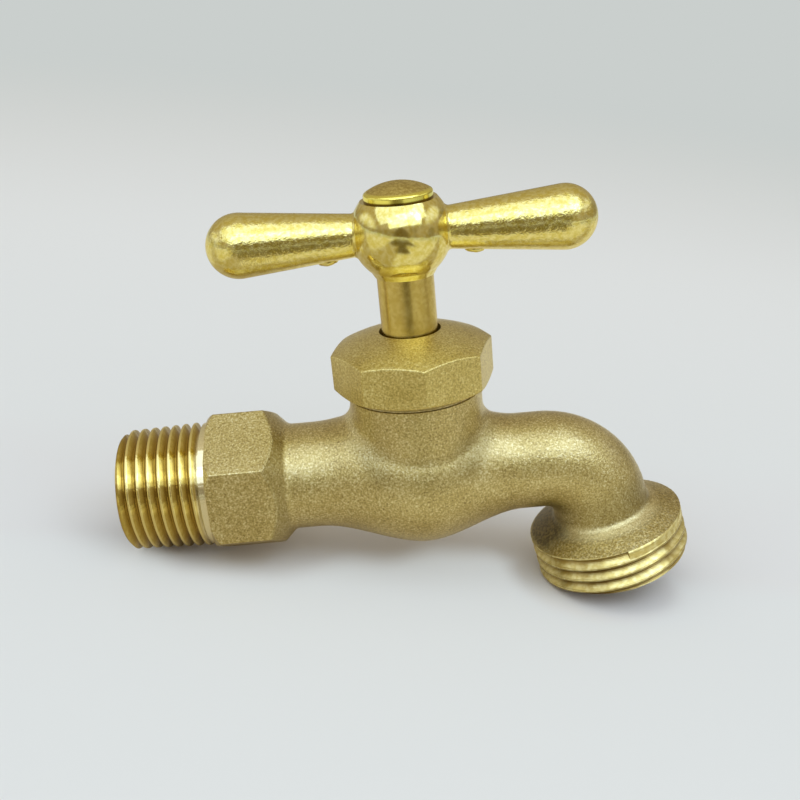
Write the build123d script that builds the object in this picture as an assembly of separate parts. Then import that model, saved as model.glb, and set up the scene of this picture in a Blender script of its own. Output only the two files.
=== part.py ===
from build123d import *
import math
import os

# A brass hose bibb, in millimetres. The origin is the centre of the inlet's end face, +X runs
# along the body towards the outlet and +Z up the stem. Heights are measured from the body's axis.
INCH = 25.4
UP = (Align.CENTER, Align.CENTER, Align.MIN)
OVER = 1.0  # how far a cutting solid runs past the face that it cuts
REACH = 0.05  # how far from its known height an edge is looked for
CUT_PAST = 0.3  # how far a thread's cutter stands out of its groove

# Clearances
SCREW_PLAY = 0.12  # between the flanks, crests and roots of mating threads
RUNNING_GAP = 0.1  # radial, between the stem and the rings that it turns in
HOLE_GAP = 0.5  # radial, between the stem and the hole in the bonnet nut
SOCKET_GAP = 0.06  # each side, between the stem's square and the handle's socket
RING_GAP = 0.2  # radial, round a washer or packing ring in its housing
NUT_STANDOFF = 0.4  # between the bonnet nut and the shoulder of the neck
SCREW_GAP = 0.08  # radial, between a screw's shank and its hole

# Inlet: a half-inch tapered pipe thread with a hexagon behind it
INLET_PITCH = INCH / 14
INLET_TAPER = 1 / 32  # gain of radius for each millimetre of length
INLET_R = 10.36  # crest radius at the end face
INLET_DEPTH = 0.8 * INLET_PITCH
INLET_CREST = 0.24
INLET_THREAD = 14.2
INLET_CHAMFER = 0.9
RELIEF_LENGTH = 1.1
RELIEF_R = 10.6
HEX_FLATS = 7 / 8 * INCH
HEX_LENGTH = 9.8  # along a corner
HEX_BACK_CHAMFER = 1.2
HEX_FRONT_FILLET = 1.6

# Body: round tubes on either side of a globe
STEM_X = 51.5
WALL = 2.4
BORE_R = 6.3
TUBE_R = 9.15
GLOBE_R = 12.75
GLOBE_REAR = 18.5  # from the stem's axis to where the globe has died away
GLOBE_FRONT = 17.0
GLOBE_DROP = 0.6  # its widest section lies this far below the inlet's axis
GLOBE_STATIONS = 5  # sections in each half of the globe
NECK_R = 11.3
NECK_TOP = 14.3  # height of the shoulder
NECK_FILLET = 3.4
CAST_EDGE = 0.35  # rounding of the edges of the hexagon and the nut

# Spout and the hose thread at its end
SPOUT_R = 8.35
SPOUT_DROP = 0.8  # the spout's axis lies this far below the inlet's
SPOUT_BORE_R = 5.9
ELBOW_R = 10.0  # of the centre line
OUTLET_X = 33.2  # from the stem's axis to the middle of the outlet's end face
OUTLET_Z = -21.1
OUTLET_TILT = 11.7  # degrees, of the outlet's axis from straight down
HOSE_R = 1.0625 * INCH / 2
HOSE_PITCH = INCH / 11.5
HOSE_DEPTH = 0.65 * HOSE_PITCH
HOSE_CREST = 0.55
HOSE_FLANK = 30.0  # degrees
HOSE_HEIGHT = 7.9
HOSE_CHAMFER = 0.8
HOSE_THREAD = 7.0
HOSE_START = 216.0  # degrees round the outlet's axis, of the groove's first point
FLANGE_RISE = 2.6
FLANGE_FILLET = 1.4
MOUTH_R = 8.6
MOUTH_DEPTH = 5.0

# Seat and the passages round it
SEAT_Z = -2.6
SEAT_R = 4.3
SEAT_RIM = 0.75
SEAT_LIFT = 0.8  # how far the rim stands above the floor of the chamber
SEAT_WEB = 2.2
CHAMBER_R = 8.2
CHAMBER_TOP = 6.2
WEB_REAR = 10.4  # from the stem's axis back to the foot of the sloping web
WEB_SLOPE = 4.6  # how much further back its head lies

# Working thread between stem and neck
LEAD = INCH / 8
THREAD_R = 7.0
THREAD_DEPTH = 1.1
THREAD_CREST = 1.2
THREAD_FLANK = 14.5  # degrees
THREAD_LENGTH = 9.8
NECK_THREAD = 10.2

# Seat washer, its cup and screw
WASHER_T = 3.0
WASHER_R = 5.3
WASHER_HOLE = 2.1
CUP_RIM = 0.5
CUP_DEPTH = 1.0
WASHER_GAP = 0.05  # radial, between the washer and its cup
COLLAR_T = 1.2  # solid stem between the cup and the thread
BIBB_HEAD_R = 3.0
BIBB_HEAD_T = 1.6
BIBB_SHANK_R = 1.9
BIBB_LENGTH = 8.0
BIBB_DEPTH = 6.0  # of its hole in the stem

# Stem above its thread
STEM_R = 4.7
STEM_SHOULDER = 34.5  # height of the shoulder that the handle sits on
SQUARE = INCH / 4
SQUARE_LENGTH = 7.6
SQUARE_BEVEL = 0.5

# Bonnet nut, packing and the thread that joins them to the neck
NUT_FLATS = INCH
NUT_SIDES = 8
NUT_CORNER = 22.0  # height of the top of a corner
NUT_TOP = 25.0
NUT_TURN = 7.3  # degrees, of a corner from straight ahead
NUT_CHAMFER = 1.3
NUT_ROOF = 22.7
NUT_BULGE = 0.35
NECK_THREAD_R = 10.0
NECK_PITCH = 1.5
NECK_DEPTH = 0.75
NECK_CREST = 0.4
NECK_FLOOR = 0.3
PACKING_FLOOR = 18.9
PACKING_R = 8.9
PACKING_WASHER_T = 0.8
GLAND_T = 0.9
PACKING_RINGS = 2

# Handle
BALL_Z = 41.6
BALL_R = 8.25
BALL_FLAT = 5.35  # height of the flat top above the ball's centre
COLLAR_R = 4.95
COLLAR_FLARE = 0.55
GRIP_REACH = 1.25 * INCH
GRIP_END_R = 5.34
GRIP_ROOT_R = 3.55
GRIP_FILLET = 0.8
POCKET_R = 4.9
POCKET_FLOOR = 43.5
POCKET_WEB = 1.2
CAP_R = 5.65
CAP_EDGE = 1.1
CAP_CROWN = 1.7
CAP_WALL = 0.9
CAP_SKIRT = 1.6
CAP_ROUND = 0.5
HANDLE_SCREW_R = 2.0
HEAD_ROUND = 0.6  # of the height of a screw's head
TIP_BEVEL = 0.25  # of the radius of a screw's shank
HANDLE_HEAD_R = 3.5
HANDLE_HEAD_T = 2.0
HANDLE_SCREW_LENGTH = 6.5
HANDLE_SCREW_DEPTH = 5.5  # of its hole in the stem
LOCK_WASHER_T = 0.9
LOCK_WASHER_R = 3.6
LOCK_GAP = 0.7
LOCK_SLANT = 30.0  # degrees, of the split from the washer's axis
SLOT_WIDTH = 0.9
SLOT_DEPTH = 0.9

# Heights that follow from the above
FLOOR_Z = SEAT_Z - SEAT_LIFT
WEB_UNDER = FLOOR_Z - SEAT_WEB
STEM_END = SEAT_Z + WASHER_T
STEM_THREAD_Z = STEM_END + COLLAR_T
CUP_R = WASHER_R + CUP_RIM
THREAD_FLOOR = LEAD - THREAD_CREST - 2 * THREAD_DEPTH * math.tan(math.radians(THREAD_FLANK))
NUT_BOTTOM = NECK_TOP + NUT_STANDOFF
NUT_HOLE_R = STEM_R + HOLE_GAP
RELIEF_END = INLET_THREAD + RELIEF_LENGTH
HEX_CORNER_R = HEX_FLATS / math.sqrt(3)


def disc(radius, bottom, top):
    """A solid cylinder on the Z axis between two heights."""
    return Pos(0, 0, bottom) * Cylinder(radius, top - bottom, align=UP)


def ring(outer, inner, bottom, top):
    """A flat ring on the Z axis between two heights."""
    return disc(outer, bottom, top) - disc(inner, bottom - OVER, top + OVER)


def turned(*points):
    """A solid turned about the Z axis from its half outline, given as (radius, height)."""
    outline = Polyline(*[(r, 0, z) for r, z in points], close=True)
    return revolve(make_face(outline), Axis.Z)


def threaded_rod(pitch, bottom, top, radius, depth, crest, floor, taper=0.0, end=None):
    """A rod with a helical thread and square ends; its groove may stop short at the height end."""
    start = bottom - pitch
    stop = top + pitch if end is None else end
    low = bottom - 2 * pitch
    high = top + 2 * pitch
    at_low, at_high = (radius + taper * (z - bottom) for z in (low, high))
    blank = turned((0, low), (at_low, low), (at_high, high), (0, high))
    cone = math.degrees(math.atan(taper))
    at_start = radius + taper * (start - bottom)
    path = Helix(pitch, stop - start, at_start, (0, 0, start), cone_angle=cone)
    first = path @ 0
    mouth = pitch - crest
    lean = (mouth - floor) / 2 / depth
    half = ((CUT_PAST, mouth / 2 + lean * CUT_PAST), (-depth, floor / 2))
    corners = half + tuple((r, -z) for r, z in reversed(half))
    section = Polyline(*[(first.X + r, 0, first.Z + z) for r, z in corners], close=True)
    groove = sweep(make_face(section), path=path, is_frenet=True)
    return (blank - groove) & disc(at_high + OVER, bottom, top)


def tapping_rod(pitch, bottom, top, radius, depth, crest, floor):
    """The rod that cuts the internal thread for threaded_rod of the same sizes, with play."""
    lean = (pitch - crest - floor) / 2 / depth
    wider = 2 * SCREW_PLAY * (1 - lean)
    return threaded_rod(
        pitch, bottom, top, radius + SCREW_PLAY, depth, crest + wider, floor - wider
    )


def bevel_ring(radius, height, size):
    """The ring that bevels the lower edge of a rod at 45 degrees."""
    out = size + OVER
    return turned(
        (radius - out, height - OVER), (radius + OVER, height + out), (radius + OVER, height - OVER)
    )


def curved_edges(shape, low, high):
    """The edges between two heights that are neither straight nor round, as where a cone cuts flats."""
    edges = shape.edges().filter_by_position(Axis.Z, low, high)
    return [edge for edge in edges if edge.geom_type not in (GeomType.LINE, GeomType.CIRCLE)]


def round_flats(shape, low, high):
    """Rounds the scalloped edges at both ends of a prism whose ends are turned to cones."""
    middle = (low + high) / 2
    shape = fillet(curved_edges(shape, middle, high), CAST_EDGE)
    return fillet(curved_edges(shape, low, middle), CAST_EDGE)


def along_x(shape, x=0.0, z=0.0):
    """A shape made on the Z axis, laid down so that its axis runs along +X."""
    return Pos(x, 0, z) * Rot(0, 90, 0) * shape


def at_stem(shape):
    """A shape made on the Z axis, moved to the stem's axis."""
    return Pos(STEM_X, 0, 0) * shape


def at_outlet(shape):
    """A shape made with the outlet's end face at z = 0 and the spout above it."""
    return Pos(STEM_X + OUTLET_X, 0, OUTLET_Z) * Rot(0, -OUTLET_TILT, 0) * shape


def globe(inset):
    """The body's swelling, lofted through round sections whose radius follows a smooth step."""
    sections = []
    halves = ((-GLOBE_REAR, TUBE_R, 0.0), (GLOBE_FRONT, SPOUT_R, -SPOUT_DROP))
    for end, end_r, end_z in halves:
        steps = range(GLOBE_STATIONS) if end < 0 else range(GLOBE_STATIONS, -1, -1)
        for step in steps:
            t = step / GLOBE_STATIONS
            ease = t * t * (3 - 2 * t)
            radius = end_r + (GLOBE_R - end_r) * ease - inset
            height = end_z - (GLOBE_DROP + end_z) * ease
            place = Plane((end * (1 - t), 0, height), x_dir=(0, 1, 0), z_dir=(1, 0, 0))
            sections.append(place * Circle(radius))
    return at_stem(loft(sections))


def spout_path():
    """The centre line of the spout, from inside the globe to inside the outlet's flange."""
    tilt = math.radians(OUTLET_TILT)
    foot_x = OUTLET_X - HOSE_HEIGHT * math.sin(tilt)
    foot_z = OUTLET_Z + HOSE_HEIGHT * math.cos(tilt)
    corner_x = foot_x - (-SPOUT_DROP - foot_z) * math.tan(tilt)
    points = ((GLOBE_FRONT - OVER, -SPOUT_DROP), (corner_x, -SPOUT_DROP), (foot_x, foot_z))
    return FilletPolyline(*[(STEM_X + x, 0, z) for x, z in points], radius=ELBOW_R)


def spout(radius):
    """A round bar bent along the spout's centre line."""
    path = spout_path()
    start = Plane(path @ 0, x_dir=(0, 1, 0), z_dir=path % 0)
    return sweep(start * Circle(radius), path=path)


def inlet_outside():
    """The tapered stub, its relief, the hexagon and the cone that runs down to the tube."""
    stub = threaded_rod(
        INLET_PITCH, 0, INLET_THREAD, INLET_R, INLET_DEPTH, INLET_CREST, INLET_CREST, INLET_TAPER
    )
    stub = stub - bevel_ring(INLET_R, 0, INLET_CHAMFER)
    relief = disc(RELIEF_R, INLET_THREAD, RELIEF_END)
    front = RELIEF_END + HEX_LENGTH
    foot = front + HEX_CORNER_R - TUBE_R
    prism = extrude(RegularPolygon(HEX_CORNER_R, 6), foot - RELIEF_END)
    prism = fillet(prism.edges().filter_by(Axis.Z), CAST_EDGE)
    envelope = turned(
        (0, RELIEF_END),
        (HEX_CORNER_R - HEX_BACK_CHAMFER, RELIEF_END),
        (HEX_CORNER_R, RELIEF_END + HEX_BACK_CHAMFER),
        (HEX_CORNER_R, front),
        (TUBE_R, foot),
        (0, foot),
    )
    hexagon = (Pos(0, 0, RELIEF_END) * prism) & envelope
    hexagon = round_flats(hexagon, RELIEF_END, foot)
    tube = disc(TUBE_R, front, STEM_X - GLOBE_REAR)
    shaft = hexagon + tube
    rims = shaft.edges().filter_by(GeomType.CIRCLE)
    shaft = fillet(rims.filter_by_position(Axis.Z, foot - REACH, foot + REACH), HEX_FRONT_FILLET)
    return along_x(stub + (relief + shaft))


def outlet_outside():
    """The spout and the round flange at its end, which carries the hose thread."""
    root = HOSE_PITCH - HOSE_CREST - 2 * HOSE_DEPTH * math.tan(math.radians(HOSE_FLANK))
    rod = threaded_rod(
        HOSE_PITCH, 0, HOSE_HEIGHT, HOSE_R, HOSE_DEPTH, HOSE_CREST, root, end=HOSE_THREAD
    )
    rod = Rot(0, 0, HOSE_START) * (rod - bevel_ring(HOSE_R, 0, HOSE_CHAMFER))
    top = HOSE_HEIGHT + FLANGE_RISE
    cone = turned((0, HOSE_HEIGHT), (HOSE_R, HOSE_HEIGHT), (SPOUT_R, top), (0, top))
    neck = spout(SPOUT_R) + at_outlet(cone)
    rims = [edge for face in neck.faces().filter_by(GeomType.CONE) for edge in face.edges()]
    rims = [edge for edge in rims if edge.geom_type == GeomType.CIRCLE and edge.radius < HOSE_R - OVER]
    neck = fillet(rims, FLANGE_FILLET)
    return neck + at_outlet(rod)


def passages():
    """The waterway: inlet bore, the space under the seat, the chamber, the spout and its mouth."""
    inside = globe(WALL)
    bore = along_x(disc(BORE_R, -OVER, STEM_X - GLOBE_REAR + OVER))
    deep = GLOBE_R + OVER
    below = Polyline(
        (-GLOBE_REAR, 0, deep),
        (-WEB_REAR - WEB_SLOPE, 0, deep),
        (-WEB_REAR - WEB_SLOPE, 0, CHAMBER_TOP),
        (-WEB_REAR, 0, WEB_UNDER),
        (SEAT_R + SEAT_WEB, 0, WEB_UNDER),
        (CHAMBER_R, 0, WEB_UNDER - SEAT_WEB),
        (SEAT_R, 0, -deep),
        (-GLOBE_REAR, 0, -deep),
        close=True,
    )
    above = Polyline(
        (0, 0, CHAMBER_TOP),
        (0, 0, FLOOR_Z),
        (CHAMBER_R, 0, FLOOR_Z),
        (CHAMBER_R + SEAT_WEB, 0, WEB_UNDER),
        (GLOBE_FRONT, 0, -deep),
        (GLOBE_FRONT, 0, CHAMBER_TOP),
        close=True,
    )
    parts = [bore]
    for outline in (below, above):
        slab = extrude(make_face(outline), amount=GLOBE_R, dir=(0, 1, 0), both=True)
        parts.append(at_stem(slab) & inside)
    parts.append(at_stem(disc(CHAMBER_R, FLOOR_Z, CHAMBER_TOP)))
    parts.append(spout(SPOUT_BORE_R))
    mouth = turned(
        (0, -OVER),
        (MOUTH_R, -OVER),
        (MOUTH_R, MOUTH_DEPTH),
        (SPOUT_BORE_R, HOSE_HEIGHT + OVER),
        (0, HOSE_HEIGHT + OVER),
    )
    parts.append(at_outlet(mouth))
    return parts


def body_casting():
    """Inlet, globe, neck and spout in one casting, with the waterway cored out of it."""
    trunk = globe(0) + at_stem(disc(NECK_R, 0, NECK_TOP))
    trunk = fillet(curved_edges(trunk, OVER, NECK_TOP - OVER), NECK_FILLET)
    shell = inlet_outside() + trunk + outlet_outside()
    for space in passages():
        shell = shell - space
    # the seat's raised rim and its hole
    shell = shell + at_stem(disc(SEAT_R + SEAT_RIM, FLOOR_Z - SEAT_WEB / 2, SEAT_Z))
    shell = shell - at_stem(disc(SEAT_R, WEB_UNDER - OVER, SEAT_Z + OVER))
    # the threaded neck above the shoulder
    stub = threaded_rod(
        NECK_PITCH,
        NECK_TOP - OVER,
        PACKING_FLOOR,
        NECK_THREAD_R,
        NECK_DEPTH,
        NECK_CREST,
        NECK_FLOOR,
    )
    shell = shell + at_stem(stub)
    # the working thread in the neck, with a plain counterbore over it
    thread_top = CHAMBER_TOP + NECK_THREAD
    tap = tapping_rod(
        LEAD, STEM_THREAD_Z, thread_top, THREAD_R, THREAD_DEPTH, THREAD_CREST, THREAD_FLOOR
    )
    shell = shell - at_stem(tap & disc(2 * THREAD_R, CHAMBER_TOP - OVER / 2, thread_top))
    shell = shell - at_stem(disc(THREAD_R + SCREW_PLAY, thread_top, PACKING_FLOOR + OVER))
    return shell


def bonnet_nut():
    """The octagonal cap nut: crowned top, chamfered foot, threaded skirt over the packing."""
    corner_r = NUT_FLATS / 2 / math.cos(math.pi / NUT_SIDES)
    foot_r = corner_r - 2 * NUT_CHAMFER
    prism = extrude(RegularPolygon(corner_r, NUT_SIDES), NUT_TOP - NUT_BOTTOM + OVER)
    prism = fillet(prism.edges().filter_by(Axis.Z), CAST_EDGE)
    prism = Pos(0, 0, NUT_BOTTOM) * Rot(0, 0, NUT_TURN - 90) * prism
    brow = ((NUT_HOLE_R + corner_r) / 2, 0, (NUT_TOP + NUT_CORNER) / 2 + NUT_BULGE)
    crown = ThreePointArc((corner_r, 0, NUT_CORNER), brow, (NUT_HOLE_R, 0, NUT_TOP))
    sides = Polyline(
        (NUT_HOLE_R, 0, NUT_TOP),
        (0, 0, NUT_TOP),
        (0, 0, NUT_BOTTOM),
        (foot_r, 0, NUT_BOTTOM),
        (corner_r, 0, NUT_BOTTOM + NUT_CHAMFER),
        (corner_r, 0, NUT_CORNER),
    )
    envelope = revolve(make_face(crown + sides), Axis.Z)
    nut = prism & envelope
    nut = round_flats(nut, NUT_BOTTOM, NUT_TOP)
    tap = tapping_rod(
        NECK_PITCH,
        NECK_TOP - OVER,
        PACKING_FLOOR,
        NECK_THREAD_R,
        NECK_DEPTH,
        NECK_CREST,
        NECK_FLOOR,
    )
    nut = nut - tap
    nut = nut - disc(PACKING_R + RING_GAP, PACKING_FLOOR, NUT_ROOF)
    nut = nut - disc(NUT_HOLE_R, NUT_BOTTOM, NUT_TOP + OVER)
    return at_stem(nut)


def stem():
    """Washer cup, working thread, shank and the square that drives it."""
    thread_top = STEM_THREAD_Z + THREAD_LENGTH
    square_top = STEM_SHOULDER + SQUARE_LENGTH
    foot = turned(
        (0, STEM_END),
        (WASHER_R + WASHER_GAP, STEM_END),
        (WASHER_R + WASHER_GAP, STEM_END - CUP_DEPTH),
        (CUP_R, STEM_END - CUP_DEPTH),
        (CUP_R, STEM_THREAD_Z),
        (0, STEM_THREAD_Z),
    )
    screw = threaded_rod(
        LEAD, STEM_THREAD_Z, thread_top, THREAD_R, THREAD_DEPTH, THREAD_CREST, THREAD_FLOOR
    )
    screw = screw - bevel_ring(THREAD_R, STEM_THREAD_Z, THREAD_DEPTH)
    screw = screw - Rot(180, 0, 0) * bevel_ring(THREAD_R, -thread_top, THREAD_DEPTH)
    shank = disc(STEM_R, thread_top, STEM_SHOULDER)
    square = extrude(Rectangle(SQUARE, SQUARE), square_top - STEM_SHOULDER)
    square = Pos(0, 0, STEM_SHOULDER) * chamfer(square.edges().group_by(Axis.Z)[-1], SQUARE_BEVEL)
    shape = screw + foot + shank + square
    shape = shape - disc(BIBB_SHANK_R + SCREW_GAP, STEM_END - OVER, STEM_END + BIBB_DEPTH)
    shape = shape - disc(
        HANDLE_SCREW_R + SCREW_GAP, square_top - HANDLE_SCREW_DEPTH, square_top + OVER
    )
    return at_stem(shape)


def seat_washer():
    """The flat rubber disc that closes on the seat."""
    return at_stem(ring(WASHER_R, WASHER_HOLE, SEAT_Z, STEM_END))


def headed_screw(head_r, head_t, shank_r, length, slot_w, slot_d):
    """A round-headed slotted screw with the underside of its head at z = 0, head upwards."""
    dome = disc(head_r, 0, head_t)
    dome = fillet(dome.edges().group_by(Axis.Z)[-1], HEAD_ROUND * head_t)
    slot = Pos(0, 0, head_t) * Box(3 * head_r, slot_w, 2 * slot_d)
    tip = disc(shank_r, -length, 0)
    tip = chamfer(tip.edges().group_by(Axis.Z)[0], TIP_BEVEL * shank_r)
    return (dome - slot) + tip


def bibb_screw():
    """The screw that holds the seat washer, head down."""
    screw = headed_screw(
        BIBB_HEAD_R, BIBB_HEAD_T, BIBB_SHANK_R, BIBB_LENGTH, SLOT_WIDTH, SLOT_DEPTH
    )
    return at_stem(Pos(0, 0, SEAT_Z) * Rot(180, 0, 0) * screw)


def packing_washer():
    """The flat ring under the packing."""
    top = PACKING_FLOOR + PACKING_WASHER_T
    return at_stem(ring(PACKING_R, STEM_R + RUNNING_GAP, PACKING_FLOOR, top))


def packing_ring(place):
    """One of the square-section packing rings, counted upwards from nought."""
    room = NUT_ROOF - GLAND_T - PACKING_FLOOR - PACKING_WASHER_T
    height = room / PACKING_RINGS
    bottom = PACKING_FLOOR + PACKING_WASHER_T + place * height
    return at_stem(ring(PACKING_R, STEM_R + RUNNING_GAP, bottom, bottom + height))


def gland_ring():
    """The flat ring between the packing and the roof of the nut."""
    return at_stem(ring(PACKING_R, STEM_R + RUNNING_GAP, NUT_ROOF - GLAND_T, NUT_ROOF))


def grip():
    """One tapered, round-ended grip lying along +X from the middle of the ball."""
    end_x = GRIP_REACH - GRIP_END_R
    lean = math.asin((GRIP_END_R - GRIP_ROOT_R) / (end_x - BALL_R))
    touch = (end_x - GRIP_END_R * math.sin(lean), GRIP_END_R * math.cos(lean))
    start_r = touch[1] - touch[0] * math.tan(lean)
    slant = GRIP_END_R / math.sqrt(2)
    lines = Polyline((GRIP_REACH, 0, 0), (0, 0, 0), (0, 0, start_r), (touch[0], 0, touch[1]))
    nose = ThreePointArc((touch[0], 0, touch[1]), (end_x + slant, 0, slant), (GRIP_REACH, 0, 0))
    return revolve(make_face(lines + nose), Axis.X)


def tee_handle():
    """Ball and two grips in one casting, bored square below and pocketed above."""
    ball = Sphere(BALL_R)
    collar_top = -math.sqrt(BALL_R**2 - (COLLAR_R + COLLAR_FLARE) ** 2)
    foot = STEM_SHOULDER - BALL_Z
    collar = turned(
        (0, foot),
        (COLLAR_R, foot),
        (COLLAR_R + COLLAR_FLARE, collar_top),
        (0, collar_top + OVER),
    )
    hub = ball & disc(2 * BALL_R, foot, BALL_FLAT)
    arm = grip()
    shape = hub + collar + arm + Rot(0, 0, 180) * arm
    root_x = math.sqrt(BALL_R**2 - GRIP_ROOT_R**2)
    tall = [edge for edge in shape.edges() if edge.bounding_box().size.Z > GRIP_ROOT_R]
    roots = [edge for edge in tall if abs(abs(edge.center().X) - root_x) < GRIP_FILLET / 2]
    shape = fillet(roots, GRIP_FILLET)
    hole = SQUARE + 2 * SOCKET_GAP
    socket = Pos(0, 0, foot - OVER) * extrude(Rectangle(hole, hole), 2 * BALL_R)
    floor = POCKET_FLOOR - BALL_Z
    web = floor - POCKET_WEB
    socket = socket & disc(BALL_R, foot - OVER, web)
    shape = shape - socket
    shape = shape - disc(HANDLE_SCREW_R + SCREW_GAP, web - OVER, floor + OVER)
    shape = shape - disc(POCKET_R, floor, BALL_FLAT + OVER)
    return at_stem(Pos(0, 0, BALL_Z) * shape)


def lock_washer():
    """A split spring washer."""
    flat = ring(LOCK_WASHER_R, HANDLE_SCREW_R + RING_GAP, 0, LOCK_WASHER_T)
    blade = Box(2 * LOCK_WASHER_R, LOCK_GAP, 2 * LOCK_WASHER_R)
    split = Pos(LOCK_WASHER_R, 0, LOCK_WASHER_T / 2) * Rot(LOCK_SLANT, 0, 0) * blade
    return at_stem(Pos(0, 0, POCKET_FLOOR) * (flat - split))


def handle_screw():
    """The screw that holds the handle down on its square."""
    screw = headed_screw(
        HANDLE_HEAD_R, HANDLE_HEAD_T, HANDLE_SCREW_R, HANDLE_SCREW_LENGTH, SLOT_WIDTH, SLOT_DEPTH
    )
    return at_stem(Pos(0, 0, POCKET_FLOOR + LOCK_WASHER_T) * screw)


def handle_cap():
    """The domed button over the handle's screw, with a skirt that plugs the pocket."""
    seat = BALL_Z + BALL_FLAT
    edge = seat + CAP_EDGE
    peak = edge + CAP_CROWN
    rise = (CAP_R**2 + CAP_CROWN**2) / (2 * CAP_CROWN)
    dome = Pos(0, 0, peak - rise) * Sphere(rise)
    top = dome & disc(CAP_R, seat, peak)
    rims = top.edges().filter_by(GeomType.CIRCLE)
    top = fillet(rims.filter_by_position(Axis.Z, edge - REACH, edge + REACH), CAP_ROUND)
    skirt = disc(POCKET_R - SOCKET_GAP, seat - CAP_SKIRT, seat)
    hollow = disc(POCKET_R - CAP_WALL, seat - CAP_SKIRT - OVER, edge - CAP_WALL / 2)
    return at_stem((top + skirt) - hollow)


def main():
    os.makedirs("parts", exist_ok=True)
    pieces = {
        "body_casting": body_casting(),
        "bonnet_nut": bonnet_nut(),
        "packing_washer": packing_washer(),
        "gland_ring": gland_ring(),
        "stem": stem(),
        "seat_washer": seat_washer(),
        "bibb_screw": bibb_screw(),
        "tee_handle": tee_handle(),
        "lock_washer": lock_washer(),
        "handle_screw": handle_screw(),
        "handle_cap": handle_cap(),
    }
    for place in range(PACKING_RINGS):
        pieces[f"packing_ring_{place + 1}"] = packing_ring(place)
    for name, shape in pieces.items():
        export_step(shape, f"parts/{name}.step")


main()
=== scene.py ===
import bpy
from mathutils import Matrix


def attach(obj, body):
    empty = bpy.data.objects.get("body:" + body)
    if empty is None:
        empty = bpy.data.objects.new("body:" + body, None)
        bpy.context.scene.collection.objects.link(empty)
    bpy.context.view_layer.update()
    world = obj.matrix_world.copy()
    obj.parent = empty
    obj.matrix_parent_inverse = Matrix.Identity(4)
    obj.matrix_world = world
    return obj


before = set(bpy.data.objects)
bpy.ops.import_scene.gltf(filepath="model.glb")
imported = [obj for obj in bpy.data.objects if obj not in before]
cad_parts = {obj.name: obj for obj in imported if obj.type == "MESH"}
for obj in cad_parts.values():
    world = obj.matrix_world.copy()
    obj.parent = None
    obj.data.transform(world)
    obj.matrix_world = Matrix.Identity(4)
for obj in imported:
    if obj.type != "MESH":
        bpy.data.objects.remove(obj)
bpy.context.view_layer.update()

import math
from types import SimpleNamespace

import bpy
from mathutils import Vector

# A brass hose bibb in the frame of its solids: the origin is the centre of the inlet's end
# face, +X runs along the body towards the outlet and +Z up the stem. Objects are in metres.
# The lengths below are in millimetres, and most of them repeat measures of the solids.
MM = 0.001
X_AXIS = (1.0, 0.0, 0.0)
Y_AXIS = (0.0, 1.0, 0.0)
Z_AXIS = (0.0, 0.0, 1.0)
ORIGIN = (0.0, 0.0, 0.0)
STEM_X = 51.5
ON_STEM = (STEM_X, 0.0, 0.0)
INLET_CREST_R = 10.36  # of the inlet thread at the end face
INLET_TAPER = 1 / 32  # what that radius gains for each millimetre along X
THREAD_RUNOUT = (13.3, 13.9)  # along X, from the inlet thread to the plain ring behind it
STUB_END = 15.3  # where the machined stub meets the hexagon
BORE_R = 6.45
BORE_END = 36.0
OUTLET = (84.7, 0.0, -21.1)  # centre of the outlet's face
OUTLET_TILT = math.radians(11.7)
OUTLET_UP = (-math.sin(OUTLET_TILT), 0.0, math.cos(OUTLET_TILT))
OUTLET_ACROSS = (OUTLET_UP[2], 0.0, -OUTLET_UP[0])
HOSE_SHADE = (13.3, 12.1)  # radii between which the hose thread's grooves darken
HOSE_END = 7.9  # height of the flange's rim over the outlet's face
HOSE_CHAMFER = 0.8
HOSE_PITCH = 25.4 / 11.5
HOSE_START = math.radians(216.0)  # turn of the hose thread's groove at the outlet's face
NECK_TOP = 14.35
PASTE_R = 10.6  # from the stem's axis to the middle of the bead under the nut
PASTE_SIZE = 0.45  # half of the bead's width
PASTE_FLAT = 0.4  # its height for each of its width
BALL_Z = 41.6
BALL_R = 8.25
CAP_SEAT = 46.95
GRIP_ROOT_R = 3.55
GRIP_TIP_R = 5.34
GRIP_TIP_OUT = 26.41  # from the stem to the middle of the grip's round end
GATE_STUB_RADII = (1.75, 1.3, 0.75)
GATE_STUB_SUNK = 0.12  # into the grip
EDGE = 0.02  # half the width of the step between two finishes that meet at an edge

# Bands of the body: where each starts, is full, begins to fade, and ends. The first is a
# height over the inlet's axis, and the others are heights over the outlet's face.
NECK_FOOT = (0.0, 3.5, 6.0, 9.5)
SPOUT_FOOT = (9.9, 11.2, 13.5, 18.5)
FLANGE_FILLET = (9.0, 9.7, 10.2, 11.2)
FLANGE_TOP = (7.6, 7.9, 9.4, 10.0)
CROOK = (7.7, 8.3, 10.0, 13.0)  # behind the spout


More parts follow.
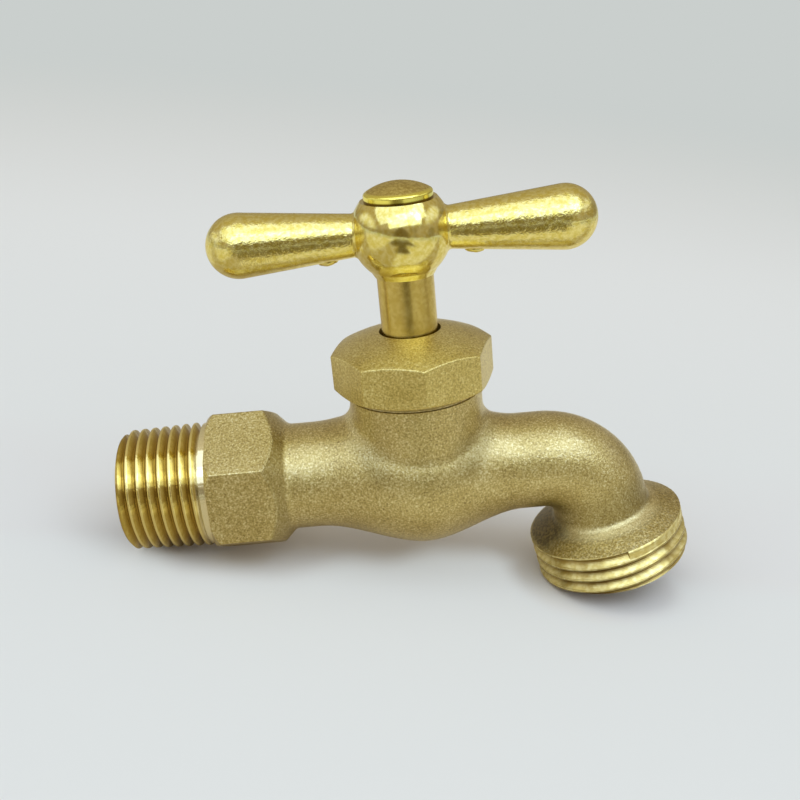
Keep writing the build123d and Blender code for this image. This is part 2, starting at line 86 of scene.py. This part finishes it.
class Amount:
    """A number that changes over a surface, written like any other number."""

    def __init__(self, finish, socket):
        self.finish = finish
        self.socket = socket

    def maths(self, operation, *others):
        return self.finish.maths(operation, self, *others)

    def __add__(self, other):
        return self.maths("ADD", other)

    def __sub__(self, other):
        return self.maths("SUBTRACT", other)

    def __mul__(self, other):
        return self.maths("MULTIPLY", other)

    def __pow__(self, other):
        return self.maths("POWER", other)

    def __rsub__(self, other):
        return self.finish.maths("SUBTRACT", other, self)

    __radd__ = __add__

    def lesser(self, other):
        return self.maths("MINIMUM", other)

    def greater(self, other):
        return self.maths("MAXIMUM", other)

    def sine(self):
        return self.maths("SINE")

    def size(self):
        return self.maths("ABSOLUTE")

    def across(self, other):
        """The long side of a right triangle with these two short ones."""
        return (self * self + other * other) ** 0.5

    def rise(self, low, high):
        """0 below low and 1 above high, with a soft step between.

        It goes from 1 to 0 when low is the higher of the two.
        """
        inputs = {
            "Value": self,
            "From Min": min(low, high),
            "From Max": max(low, high),
            "To Min": float(low > high),
            "To Max": float(low < high),
        }
        settings = {"interpolation_type": "SMOOTHSTEP"}
        return self.finish.node("MapRange", settings, inputs, "Result")

    def band(self, start, full, fade, end):
        """1 from full to fade, and 0 before start and after end."""
        return self.rise(start, full) * self.rise(end, fade)

    def past(self, edge):
        return self.rise(edge - EDGE, edge + EDGE)

    def short_of(self, edge):
        return self.rise(edge + EDGE, edge - EDGE)


class Finish:
    """A node tree being built. Every node in it is made by the method node."""

    def __init__(self, tree):
        self.tree = tree
        tree.nodes.clear()

    def node(self, kind, settings=None, inputs=None, result=0):
        """Adds a node, sets it up, feeds its sockets, and gives back one of its outputs."""
        made = self.tree.nodes.new("ShaderNode" + kind)
        for name, value in (settings or {}).items():
            if name == "stops":
                self.stops(made.color_ramp, value)
            else:
                setattr(made, name, value)
        for name, value in (inputs or {}).items():
            socket = self.socket(made.inputs, name)
            if isinstance(value, Amount):
                self.tree.links.new(value.socket, socket)
            else:
                socket.default_value = value
        if not made.outputs:
            return made
        return Amount(self, self.socket(made.outputs, result))

    @staticmethod
    def socket(sockets, name):
        if isinstance(name, int):
            return sockets[name]
        exact = [socket for socket in sockets if socket.identifier == name]
        return exact[0] if exact else sockets[name]

    @staticmethod
    def stops(ramp, stops):
        while len(ramp.elements) < len(stops):
            ramp.elements.new(1.0)
        for element, (place, colour) in zip(ramp.elements, stops):
            element.position = place
            element.color = colour

    def maths(self, operation, *values):
        names = ("Value", "Value_001", "Value_002")
        return self.node("Math", {"operation": operation}, dict(zip(names, values)))

    def vector(self, operation, where, other=ORIGIN, result=0):
        inputs = {"Vector": where, "Vector_001": other}
        return self.node("VectorMath", {"operation": operation}, inputs, result)

    def place(self):
        """The point on the piece, in millimetres from the frame's origin."""
        inputs = {"Vector": self.node("TexCoord", result="Object"), "Scale": 1 / MM}
        return self.node("VectorMath", {"operation": "SCALE"}, inputs)

    def along(self, where, direction, start=ORIGIN):
        """How far a point lies from a start, measured in one direction."""
        offset = sum(a * b for a, b in zip(direction, start))
        return self.vector("DOT_PRODUCT", where, direction, "Value") - offset

    def distance(self, where, start=ORIGIN):
        return self.vector("LENGTH", self.vector("SUBTRACT", where, start), result="Value")

    def grain(self, where, size, detail=2.0, roughness=0.5):
        """Noise of that grain size, about 0 to 1."""
        inputs = {"Vector": where, "Scale": 1 / size, "Detail": detail, "Roughness": roughness}
        return self.node("TexNoise", {}, inputs, "Fac")

    def mixed(self, share, first, second, blend="MIX"):
        """The first colour where share is 0 and the second where it is 1."""
        settings = {"data_type": "RGBA", "blend_type": blend}
        inputs = {"Factor_Float": share, "A_Color": first, "B_Color": second}
        return self.node("Mix", settings, inputs, "Result_Color")

    def tones(self, value, *stops):
        return self.node("ValToRGB", {"stops": stops}, {"Fac": value}, "Color")

    def bump(self, height, depth, under=None):
        """Relief of that depth in millimetres where height goes from 0 to 1."""
        inputs = {"Height": height, "Strength": 1.0, "Distance": depth * MM}
        if under is not None:
            inputs["Normal"] = under
        return self.node("Bump", {}, inputs, "Normal")

    def glow(self, colour):
        return self.node("Emission", {}, {"Color": colour, "Strength": 1.0}, "Emission")

    def either(self, share, first, second):
        """The first shader where share is 0 and the second where it is 1."""
        return self.node("MixShader", {}, {"Fac": share, "Shader": first, "Shader_001": second})

    def surface(self, colour, roughness, normal=None, metallic=1.0, **others):
        inputs = {"Base Color": colour, "Roughness": roughness, "Metallic": metallic}
        inputs.update({name.replace("_", " "): value for name, value in others.items()})
        if normal is not None:
            inputs["Normal"] = normal
        shader = self.node("BsdfPrincipled", {}, inputs, "BSDF")
        self.node("OutputMaterial", {}, {"Surface": shader})


def new_finish(name):
    material = bpy.data.materials.new(name)
    material.use_nodes = True
    return material, Finish(material.node_tree)


def rgb(red, green, blue):
    """A colour written as it shows on screen, 0 to 255, made linear."""
    parts = [value / 255 for value in (red, green, blue)]
    linear = [p / 12.92 if p <= 0.04045 else ((p + 0.055) / 1.055) ** 2.4 for p in parts]
    return (*linear, 1.0)


def tint(red, green, blue):
    """A linear colour that another is multiplied by, or that of a light."""
    return (red, green, blue, 1.0)


# Colours and other values of the tap's finishes. Tones run from dark to light.
BODY_TONES = (rgb(141, 119, 59), rgb(205, 185, 112), rgb(254, 246, 196))
NUT_TONES = (rgb(161, 139, 63), rgb(219, 199, 115), rgb(254, 246, 182))
STEM_TONES = (rgb(208, 184, 98), rgb(222, 200, 120))
INLET_TONES = (rgb(205, 181, 88), rgb(226, 203, 116))
# Painted shade for the inlet thread's grooves, and painted highlights for its crests and the
# plain ring behind it.
INLET_GROOVE_SHADE = rgb(172, 140, 56)
INLET_CREST_HIGHLIGHT = rgb(246, 228, 152)
INLET_RING_HIGHLIGHT = rgb(252, 242, 196)
HOSE_TONES = (rgb(218, 197, 116), rgb(248, 234, 162))
# Painted shade for the hose thread's grooves, lighter in the groove under the rim.
HOSE_GROOVE_SHADE = rgb(132, 104, 44)
HOSE_TOP_GROOVE_SHADE = rgb(176, 150, 82)
# Painted highlight for the fillet on the flange's front.
FILLET_HIGHLIGHT = rgb(255, 247, 200)
# Painted shade for the casting's fillets and the cone behind the hexagon.
PAINTED_FILLET_SHADE = rgb(60, 44, 12)
SPECKS = rgb(84, 60, 8)
# Blotched painted shade for the crook behind the spout.
CROOK_SHADE_TONES = (rgb(66, 53, 22), rgb(122, 103, 54))
PLATING_TONES = (rgb(232, 213, 111), rgb(248, 236, 160))
CAP_TOP_TONES = (rgb(188, 163, 84), rgb(226, 206, 124))
CAP_EDGE = rgb(255, 244, 120)
# Painted shade along the lower edge of the cap's rim.
CAP_FOOT_SHADE = rgb(120, 96, 32)
RUBBER_TONES = (rgb(30, 30, 31), rgb(48, 48, 50))
BRAID_TONES = (rgb(44, 44, 46), rgb(98, 98, 102))
ZINC_TONES = (rgb(170, 174, 180), rgb(206, 208, 206))
# The paste, painted lighter to offset the shade in the slit under the nut.
PASTE_LIGHTENED_TONES = (rgb(205, 182, 112), rgb(240, 222, 160))
COAT_ROUGHNESS = 0.28  # of the thin clear film on blasted brass
TOOL_LINES = 46.0 / (2 * math.pi)  # marks of the lathe's tool in each millimetre
BRAID_STRANDS = 24  # round a packing ring
BRAID_SLOPE = 6.0


def blasted(f, where, dark, middle, light):
    """Colour, roughness and relief of a brass casting that has been blasted with fine grit."""
    grit = f.grain(where, 0.33, roughness=0.6)
    fleck = f.grain(where, 0.17, detail=1.0)
    cloud = f.grain(where, 7.0)
    speckle = grit * 0.55 + fleck * 0.3 + cloud * 0.15
    tone = f.tones(speckle, (0.32, dark), (0.5, middle), (0.68, light))
    roughness = 0.34 + grit * 0.16 + cloud * 0.06
    swell = f.bump(f.grain(where, 1.7, detail=1.0), 0.08)
    return tone, roughness, f.bump(grit, 0.08, swell)


def turned(f, where, axis, start, dark, light):
    """Colour, roughness and relief of brass cut on a lathe about an axis through start."""
    length = f.along(where, axis, start)
    chatter = f.grain(where, 2.2, detail=1.0)
    line = (length * (2 * math.pi * TOOL_LINES) + chatter * 2.5).sine() * 0.5 + 0.5
    haze = f.grain(where, 0.9)
    tone = f.mixed(haze.rise(0.35, 0.7), dark, light)
    roughness = 0.09 + line * 0.03 + haze * 0.06
    return tone, roughness, f.bump(line, 0.007)


def places_on_body(f, where):
    """Where a point of the body lies from the inlet's axis, the stem and the outlet."""
    x = f.along(where, X_AXIS)
    y = f.along(where, Y_AXIS)
    z = f.along(where, Z_AXIS)
    beyond_stem = f.along(where, X_AXIS, ON_STEM)
    beside = f.along(where, OUTLET_ACROSS, OUTLET)
    return SimpleNamespace(
        where=where,
        x=x,
        y=y,
        z=z,
        radius=y.across(z),
        beyond_stem=beyond_stem,
        round_stem=beyond_stem.across(y),
        above=f.along(where, OUTLET_UP, OUTLET),
        beside=beside,
        rim=beside.across(y),
    )


def inlet_brass(f, at):
    """Colour, roughness and relief of the inlet stub. The relief rounds the sharp crests."""
    cut, roughness, relief = turned(f, at.where, X_AXIS, ORIGIN, *INLET_TONES)
    height = at.radius - at.x * INLET_TAPER - INLET_CREST_R
    # Painted shade in the grooves, and painted highlights on the crests and on the plain ring
    # behind them.
    tone = f.mixed(height.rise(-0.15, -1.3), cut, INLET_GROOVE_SHADE)
    tone = f.mixed(height.rise(-0.26, -0.06), tone, INLET_CREST_HIGHLIGHT)
    tone = f.mixed(at.x.rise(*THREAD_RUNOUT), tone, INLET_RING_HIGHLIGHT)
    return tone, roughness, f.bump(at.radius * -0.85, 1.0, relief)


def hose_brass(f, at):
    """Colour and relief of the outlet's thread and rim. The relief rounds the sharp crests."""
    cut, _, relief = turned(f, at.where, OUTLET_UP, OUTLET, *HOSE_TONES)
    # Painted shade in the grooves, lighter in the groove under the rim.
    shade = f.mixed(at.above.rise(5.2, 6.6), HOSE_GROOVE_SHADE, HOSE_TOP_GROOVE_SHADE)
    tone = f.mixed(at.rim.rise(*HOSE_SHADE), cut, shade)
    turn = f.maths("ARCTAN2", at.y, at.beside)
    phase = at.above * (2 * math.pi / HOSE_PITCH) - turn + HOSE_START
    crests = (0.0 - phase.maths("COSINE")).greater(0.68)
    brow = (at.above - (HOSE_END - HOSE_CHAMFER)).greater(0.0)
    rounding = crests * 0.9 - brow * brow * 0.6 - at.rim * 0.4
    return tone, f.bump(rounding, 1.0, relief)


def dull_and_shaded_places(at):
    """Painted shade and a dull finish round the neck's and spout's feet and behind the hexagon.

    The neck's foot is dullest towards the inlet and the spout, and the spout's foot towards
    the outside of its bend.
    """
    neck_foot = at.z.band(*NECK_FOOT) * at.round_stem.rise(14.5, 12.6)
    neck_foot = neck_foot * (at.beyond_stem.size().rise(3.0, 9.0) * 0.26 + 0.04)
    spout_foot = at.above.band(*SPOUT_FOOT) * at.rim.rise(13.0, 10.0)
    spout_foot = spout_foot * (at.beside.rise(0.0, 6.0) * 0.12 + 0.22)
    hex_cone = (at.radius + at.x).rise(37.5, 37.8) * at.radius.rise(9.25, 9.9)
    hex_cone = hex_cone * at.x.rise(31.0, 29.5)
    return neck_foot.greater(spout_foot).greater(hex_cone * 0.16)


def body_finish():
    """Blasted all over, with the inlet stub, bore, neck top and hose thread cut bright.

    The casting has blotched painted shade in the crook behind the spout, is specked on the
    flange, has painted shade and a dull finish in its fillets, and has a painted highlight in
    the fillet on the flange's front, where its coat is thinner.
    """
    material, f = new_finish("blasted_and_cut_brass")
    at = places_on_body(f, f.place())
    cast_tone, cast_roughness, cast_relief = blasted(f, at.where, *BODY_TONES)
    inlet_tone, cut_roughness, inlet_relief = inlet_brass(f, at)
    hose_tone, hose_relief = hose_brass(f, at)

    stub = at.x.short_of(STUB_END)
    bored = at.radius.rise(BORE_R, BORE_R - 0.1) * at.x.rise(BORE_END, BORE_END - 1.0)
    hose = at.above.short_of(HOSE_END)
    any_cut = stub.greater(bored).greater(at.z.past(NECK_TOP)).greater(hose)

    # Painted shade in the fillets and on the cone behind the hexagon, where the coat is also
    # left off.
    dull = dull_and_shaded_places(at)
    # A painted highlight in the fillet on the flange's front, where the coat is thinner.
    worn_and_highlit = at.above.band(*FLANGE_FILLET) * at.y.rise(-2.0, -6.0)
    shelf = at.above.band(*FLANGE_TOP)
    # Blotched painted shade in the crook behind the spout, where the brass is also less
    # metallic and uncoated.
    crook = at.above.band(*CROOK) * at.beside.rise(-5.2, -8.8) * at.y.rise(-9.0, -4.0)
    blotch = f.grain(at.where, 0.45).rise(0.34, 0.68)
    tone = f.mixed(worn_and_highlit * 0.34, cast_tone, FILLET_HIGHLIGHT)
    tone = f.mixed(dull, tone, PAINTED_FILLET_SHADE)
    tone = f.mixed(shelf * (1.0 - blotch) * 0.36, tone, SPECKS)
    tone = f.mixed(crook * 0.93, tone, f.mixed(blotch, *CROOK_SHADE_TONES))

    colour = f.mixed(any_cut, tone, f.mixed(hose, inlet_tone, hose_tone))
    roughness = cast_roughness * (1.0 - any_cut) + cut_roughness * any_cut
    normal = f.mixed(any_cut, cast_relief, f.mixed(hose, inlet_relief, hose_relief))
    metallic = 1.0 - (hose * 0.35).greater(stub * 0.06).greater(crook * 0.5)
    coat = (1.0 - any_cut) * (1.0 - dull) * (1.0 - crook)
    coat = coat * (1.0 - worn_and_highlit * 0.7) * (1.0 - shelf * 0.7)
    f.surface(
        colour, roughness, normal, metallic, Coat_Weight=coat, Coat_Roughness=COAT_ROUGHNESS
    )
    return material


def nut_finish():
    material, f = new_finish("blasted_brass")
    cast = blasted(f, f.place(), *NUT_TONES)
    f.surface(*cast, Coat_Weight=0.7, Coat_Roughness=COAT_ROUGHNESS)
    return material


def stem_finish():
    material, f = new_finish("turned_brass")
    f.surface(*turned(f, f.place(), Z_AXIS, ON_STEM, *STEM_TONES))
    return material


def handle_finish():
    """Bright yellow plating, smooth on the ball and over a rough casting on the grips."""
    material, f = new_finish("bright_plating")
    where = f.place()
    reach = f.along(where, X_AXIS, ON_STEM).size()
    grip = reach.rise(BALL_R - 0.9, BALL_R + 0.4)
    lumps = f.grain(where, 0.75, roughness=0.6)
    pits = f.grain(where, 0.3, detail=1.0)
    swell = f.grain(where, 3.0)
    tone = f.mixed(lumps.rise(0.3, 0.7), *PLATING_TONES)
    roughness = 0.10 + grip * 0.08 + pits * 0.05
    rough_cast = f.bump(lumps * grip, 0.045, f.bump(pits * grip, 0.03))
    f.surface(tone, roughness, f.bump(swell, 0.07, rough_cast))
    return material


def cap_finish():
    """Bright edge round a dulled, darker top, with painted shade along the edge's foot."""
    material, f = new_finish("dulled_cap")
    where = f.place()
    radius = f.along(where, X_AXIS, ON_STEM).across(f.along(where, Y_AXIS))
    z = f.along(where, Z_AXIS)
    top = radius.rise(5.3, 4.9)
    foot = z.rise(CAP_SEAT + 0.45, CAP_SEAT + 0.15)
    dust = f.grain(where, 0.5, detail=3.0, roughness=0.6)
    dull = f.mixed(dust.rise(0.35, 0.7), *CAP_TOP_TONES)
    colour = f.mixed(top, f.mixed(foot, CAP_EDGE, CAP_FOOT_SHADE), dull)
    roughness = 0.16 + top * 0.26 + dust * top * 0.1
    f.surface(colour, roughness, f.bump(dust * top, 0.03))
    return material


def rubber_finish():
    material, f = new_finish("black_rubber")
    specks = f.grain(f.place(), 0.4)
    tone = f.mixed(specks.rise(0.4, 0.8), *RUBBER_TONES)
    f.surface(tone, 0.62 + specks * 0.2, f.bump(specks, 0.02), metallic=0.0)
    return material


def packing_finish():
    """Square braid rubbed with graphite."""
    material, f = new_finish("graphited_braid")
    where = f.place()
    x = f.along(where, X_AXIS, ON_STEM)
    y = f.along(where, Y_AXIS)
    z = f.along(where, Z_AXIS)
    turn = f.maths("ARCTAN2", y, x) * BRAID_STRANDS
    slant = z * BRAID_SLOPE
    strands = (turn + slant).sine() * (turn - slant).sine() * 0.5 + 0.5
    tone = f.mixed(strands, *BRAID_TONES)
    f.surface(tone, 0.5 + strands * 0.2, f.bump(strands, 0.12), metallic=0.2)
    return material


def steel_finish():
    material, f = new_finish("zinc_plated_steel")
    bloom = f.grain(f.place(), 0.8, detail=3.0)
    tone = f.mixed(bloom.rise(0.35, 0.7), *ZINC_TONES)
    f.surface(tone, 0.24 + bloom * 0.16, f.bump(bloom, 0.01))
    return material


def paste_finish():
    material, f = new_finish("thread_paste")
    smear = f.grain(f.place(), 0.6)
    # The paste's colour is painted lighter to offset the shade in the slit under the nut.
    tone = f.mixed(smear.rise(0.3, 0.7), *PASTE_LIGHTENED_TONES)
    f.surface(tone, 0.5 + smear * 0.2, metallic=0.0)
    return material


def settle(obj):
    """Puts an object's place, turn and size into its mesh."""
    bpy.ops.object.select_all(action="DESELECT")
    obj.select_set(True)
    bpy.context.view_layer.objects.active = obj
    bpy.ops.object.transform_apply(location=True, rotation=True, scale=True)


def roughen(obj, grain, depth):
    """Raises lumps of that grain and depth on a mesh, and smooths its shading."""
    clouds = bpy.data.textures.new(obj.name + "_rough", "CLOUDS")
    clouds.noise_scale = grain * MM
    lumps = obj.modifiers.new("lumps", "DISPLACE")
    lumps.texture = clouds
    lumps.texture_coords = "LOCAL"
    lumps.strength = depth * MM
    bpy.ops.object.modifier_apply(modifier=lumps.name)
    bpy.ops.object.shade_smooth()


def gate_stub(name, side, out):
    """The stub left under a grip where the casting's gate was snapped off and dressed."""
    lean = (GRIP_TIP_R - GRIP_ROOT_R) / (GRIP_TIP_OUT - BALL_R)
    under = GRIP_ROOT_R + lean * (out - BALL_R)
    bpy.ops.object.select_all(action="DESELECT")
    bpy.ops.mesh.primitive_uv_sphere_add(segments=28, ring_count=14, radius=MM)
    stub = bpy.context.active_object
    stub.name = name
    stub.scale = GATE_STUB_RADII
    stub.rotation_euler = (0.0, side * math.atan(lean), 0.0)
    stub.location = Vector((STEM_X + side * out, 0.0, BALL_Z - under + GATE_STUB_SUNK)) * MM
    settle(stub)
    roughen(stub, 0.9, 0.35)
    stub.data.materials.append(finishes["tee_handle"])
    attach(stub, "handle_stem")


def neck_paste():
    """The bead of thread paste that shows in the slit between the nut and the neck."""
    bpy.ops.object.select_all(action="DESELECT")
    bpy.ops.mesh.primitive_torus_add(
        major_segments=128,
        minor_segments=12,
        major_radius=PASTE_R * MM,
        minor_radius=PASTE_SIZE * MM,
    )
    bead = bpy.context.active_object
    bead.name = "neck_paste"
    bead.scale = (1.0, 1.0, PASTE_FLAT)
    bead.location = Vector((STEM_X, 0.0, NECK_TOP + 0.15)) * MM
    settle(bead)
    roughen(bead, 1.5, 0.15)
    bead.data.materials.append(paste_finish())
    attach(bead, "valve_body")


brass_stem = stem_finish()
steel = steel_finish()
packing = packing_finish()
finishes = {
    "body_casting": body_finish(),
    "bonnet_nut": nut_finish(),
    "stem": brass_stem,
    "bibb_screw": brass_stem,
    "packing_washer": brass_stem,
    "gland_ring": brass_stem,
    "packing_ring_1": packing,
    "packing_ring_2": packing,
    "seat_washer": rubber_finish(),
    "lock_washer": steel,
    "handle_screw": steel,
    "tee_handle": handle_finish(),
    "handle_cap": cap_finish(),
}
for name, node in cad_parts.items():
    node.data.materials.clear()
    node.data.materials.append(finishes[name])

gate_stub("gate_stub_left", -1, 12.3)
gate_stub("gate_stub_right", 1, 11.6)
neck_paste()

# The floor, the room, the lamps and the camera. Places on the floor are in millimetres, and
# the floor's size and all that concerns lamps and camera is in metres.
FLOOR_TILT = 10.4775  # degrees: the tap lies on its inlet thread and the outlet's rim
FLOOR_FOOT = (0.929, 0.0, -10.389)  # where the inlet thread rests on it
FLOOR_SIZE = 8.0
MIDDLE_X = 48.0  # of the tap
UNDER_FLANGE = (81.0, 0.0, -25.0)
# Painted light: the floor glows with this share of its brightness.
SHADOW_SHARE = 0.45  # of the floor's brightness, which shadow doesn't touch

# Bands of the floor along X: where each starts, is full, begins to fade, and ends.
UNDER_INLET = (0.0, 10.0, 24.0, 38.0)
UNDER_SPOUT = (42.0, 54.0, 62.0, 70.0)
BESIDE_INLET = (-60.0, -20.0, 24.0, 34.0)

# Colours of the floor and the room.
CARD_TONES = (rgb(234, 227, 215), rgb(252, 244, 232))  # in front of the tap and behind it
# Painted light: the colour that the floor glows with.
CARD_GLOW = rgb(220, 226, 225)
BACKGROUND = rgb(202, 207, 205)
WHITE = tint(1.0, 1.0, 1.0)
# Colours that only metal sees: the floor painted warmer, with painted shade close to the tap.
OPEN_FLOOR_IN_METAL = tint(1.02, 0.94, 0.76)
CLOSE_FLOOR_SHADE_IN_METAL = tint(0.67, 0.57, 0.42)
ROOM_IN_METAL = tint(0.92, 0.79, 0.57)
# Also the painted shade that metal sees on the floor in front of the tap.
UNLIT = tint(0.16, 0.12, 0.05)  # what metal sees of the room's unlit side
UNLIT_WAY = (0.0, -0.997, 0.08)  # to that side, in front of the tap
UNLIT_SPREAD = (0.945, 0.982)  # cosines of the angles from it at which the room is lit and dark
HIGH_BEHIND = (0.0, 0.75, 0.66)  # the way to the wall high up behind the tap
PANE_HEIGHT = (0.2, 0.32, 0.5, 0.62)  # sines of the heights of the windows at both sides
CLUTTER = tint(0.1, 0.1, 0.1)
PANE = tint(0.92, 0.94, 0.96)
WALL_TONES = (
    (0.0, tint(0.43, 0.43, 0.43)),
    (0.5, tint(0.43, 0.43, 0.43)),
    (0.75, tint(0.50, 0.50, 0.50)),
    (1.0, tint(0.62, 0.63, 0.64)),
)
LAMP_COLOUR = (0.83, 1.055, 1.40)
LAMPS_AIM = (0.05, 0.0, 0.01)
CAMERA_PLACE = (0.05209, -0.17618, 0.08180)
CAMERA_TURN = (68.431, 5.0427, -0.8986)  # degrees
CAMERA_LENS = 49.82  # millimetres, on a sensor 36 wide
CAMERA_SENSOR = 36.0


def lightened_floor(f, where):
    """The share of the floor's brightness that is painted light, a glow that shadow doesn't
    touch.

    It is none in a band under and just behind the tap, and round the foot of its flange, so
    that the tap's own shadow stays. The band's front edge lies further back under the spout
    and further forward under the inlet.
    """
    x = f.along(where, X_AXIS)
    behind = f.along(where, Y_AXIS)
    shifted = behind + x.band(*UNDER_INLET) * 8.0 - x.band(*UNDER_SPOUT) * 6.0
    in_front = shifted.rise(4.0, -6.0)
    past_ends = (x - MIDDLE_X).size().rise(62.0, 110.0)
    in_open = in_front.greater(behind.rise(22.0, 60.0)).greater(past_ends)
    off_flange = f.distance(where, UNDER_FLANGE).rise(13.0, 18.0)
    return in_open.lesser(off_flange) * SHADOW_SHARE


def floor_finish():
    """Pale card, a little darker far behind the tap, and see-through from below.

    Only to metal it is painted warmer, with painted shade close to the tap and darker painted
    shade on the room's unlit side.
    """
    material, f = new_finish("pale_floor")
    where = f.place()
    x = f.along(where, X_AXIS)
    behind = f.along(where, Y_AXIS)
    from_stem = f.along(where, X_AXIS, ON_STEM).size()
    in_metal = f.node("LightPath", result="Is Glossy Ray")
    # Painted shade that only metal sees on the floor in front of the tap.
    near = behind.rise(-70.0, -95.0) * from_stem.rise(34.0, 18.0)
    far = behind.rise(-120.0, -220.0) * from_stem.rise(140.0, 80.0)
    unlit = near.greater(far) * in_metal
    # Painted shade that only metal sees on the floor close to the tap.
    close = behind.size().rise(30.0, 18.0).greater(x.band(*BESIDE_INLET))
    in_mirror = f.mixed(close, OPEN_FLOOR_IN_METAL, CLOSE_FLOOR_SHADE_IN_METAL)
    warmth = f.mixed(in_metal, WHITE, in_mirror)
    pale = f.mixed(behind.rise(-20.0, 260.0), *CARD_TONES)
    card_colour, glow_colour = [
        f.mixed(unlit, f.mixed(1.0, colour, warmth, "MULTIPLY"), UNLIT)
        for colour in (pale, CARD_GLOW)
    ]
    card = f.node("BsdfDiffuse", {}, {"Color": card_colour}, "BSDF")
    # Painted light: the floor glows with the card's lit colour, which lightens the shadow.
    card = f.either(lightened_floor(f, where), card, f.glow(glow_colour))
    card = f.either(f.distance(where).rise(250.0, 900.0), card, f.glow(BACKGROUND))
    clear = f.node("BsdfTransparent", {}, {}, "BSDF")
    from_below = f.node("NewGeometry", result="Backfacing")
    f.node("OutputMaterial", {}, {"Surface": f.either(from_below, card, clear)})
    return material


def floor():
    bpy.ops.object.select_all(action="DESELECT")
    bpy.ops.mesh.primitive_plane_add(size=FLOOR_SIZE)
    card = bpy.context.active_object
    card.name = "floor"
    card.rotation_euler = (0.0, math.radians(FLOOR_TILT), 0.0)
    card.location = Vector(FLOOR_FOOT) * MM
    settle(card)
    card.data.materials.append(floor_finish())


def surroundings():
    """A pale room, dimmer high up behind the tap and dark on its unlit side."""
    world = bpy.data.worlds.new("room")
    bpy.context.scene.world = world
    world.use_nodes = True
    f = Finish(world.node_tree)
    way = f.node("TexCoord", result="Generated")
    up = f.along(way, Z_AXIS)
    sideways = f.along(way, X_AXIS).size()
    high_behind = f.along(way, HIGH_BEHIND).rise(0.7, 0.97)
    in_metal = f.node("LightPath", result="Is Glossy Ray")
    warmth = f.mixed(in_metal, WHITE, ROOM_IN_METAL)
    walls = f.mixed(1.0, f.tones(up * 0.5 + 0.5, *WALL_TONES), warmth, "MULTIPLY")
    pane = sideways.rise(0.78, 0.88) * up.band(*PANE_HEIGHT)
    walls = f.mixed(pane, walls, PANE)
    clutter = f.grain(way, 0.3).rise(0.62, 0.4) * up.size().rise(0.5, 0.1)
    dimmed = (high_behind * 0.15).greater(clutter * 0.4)
    walls = f.mixed(dimmed, walls, CLUTTER)
    walls = f.mixed(f.along(way, UNLIT_WAY).rise(*UNLIT_SPREAD), walls, UNLIT)
    straight = f.node("LightPath", result="Is Camera Ray")
    colour = f.mixed(straight, walls, BACKGROUND)
    sky = f.node("Background", {}, {"Color": colour, "Strength": 1.0}, "Background")
    f.node("OutputWorld", {}, {"Surface": sky})


def soft_lamp(name, place, size, level):
    """A rectangular lamp aimed at the tap, whose face has that brightness."""
    lamp = bpy.data.lights.new(name, "AREA")
    lamp.shape = "RECTANGLE"
    lamp.size, lamp.size_y = size
    lamp.energy = level * math.pi * size[0] * size[1]
    lamp.color = LAMP_COLOUR
    holder = bpy.data.objects.new(name, lamp)
    bpy.context.scene.collection.objects.link(holder)
    holder.location = place
    aim = Vector(LAMPS_AIM) - Vector(place)
    holder.rotation_euler = aim.to_track_quat("-Z", "Y").to_euler()


def camera():
    """The photograph's own place, turn and lens."""
    lens = bpy.data.cameras.new("camera")
    lens.lens = CAMERA_LENS
    lens.sensor_width = CAMERA_SENSOR
    lens.clip_start = 0.01
    lens.clip_end = 20.0
    holder = bpy.data.objects.new("camera", lens)
    bpy.context.scene.collection.objects.link(holder)
    holder.location = CAMERA_PLACE
    holder.rotation_euler = [math.radians(turn) for turn in CAMERA_TURN]
    bpy.context.scene.camera = holder


floor()
surroundings()
soft_lamp("ceiling", (0.05, -0.25, 0.53), (1.2, 0.54), 0.76)
soft_lamp("front_window", (0.14, -0.42, 0.37), (0.8, 0.28), 1.12)
soft_lamp("side_window", (0.40, -0.22, 0.42), (0.30, 0.28), 0.8)
camera()
bpy.context.scene.view_settings.view_transform = "Standard"
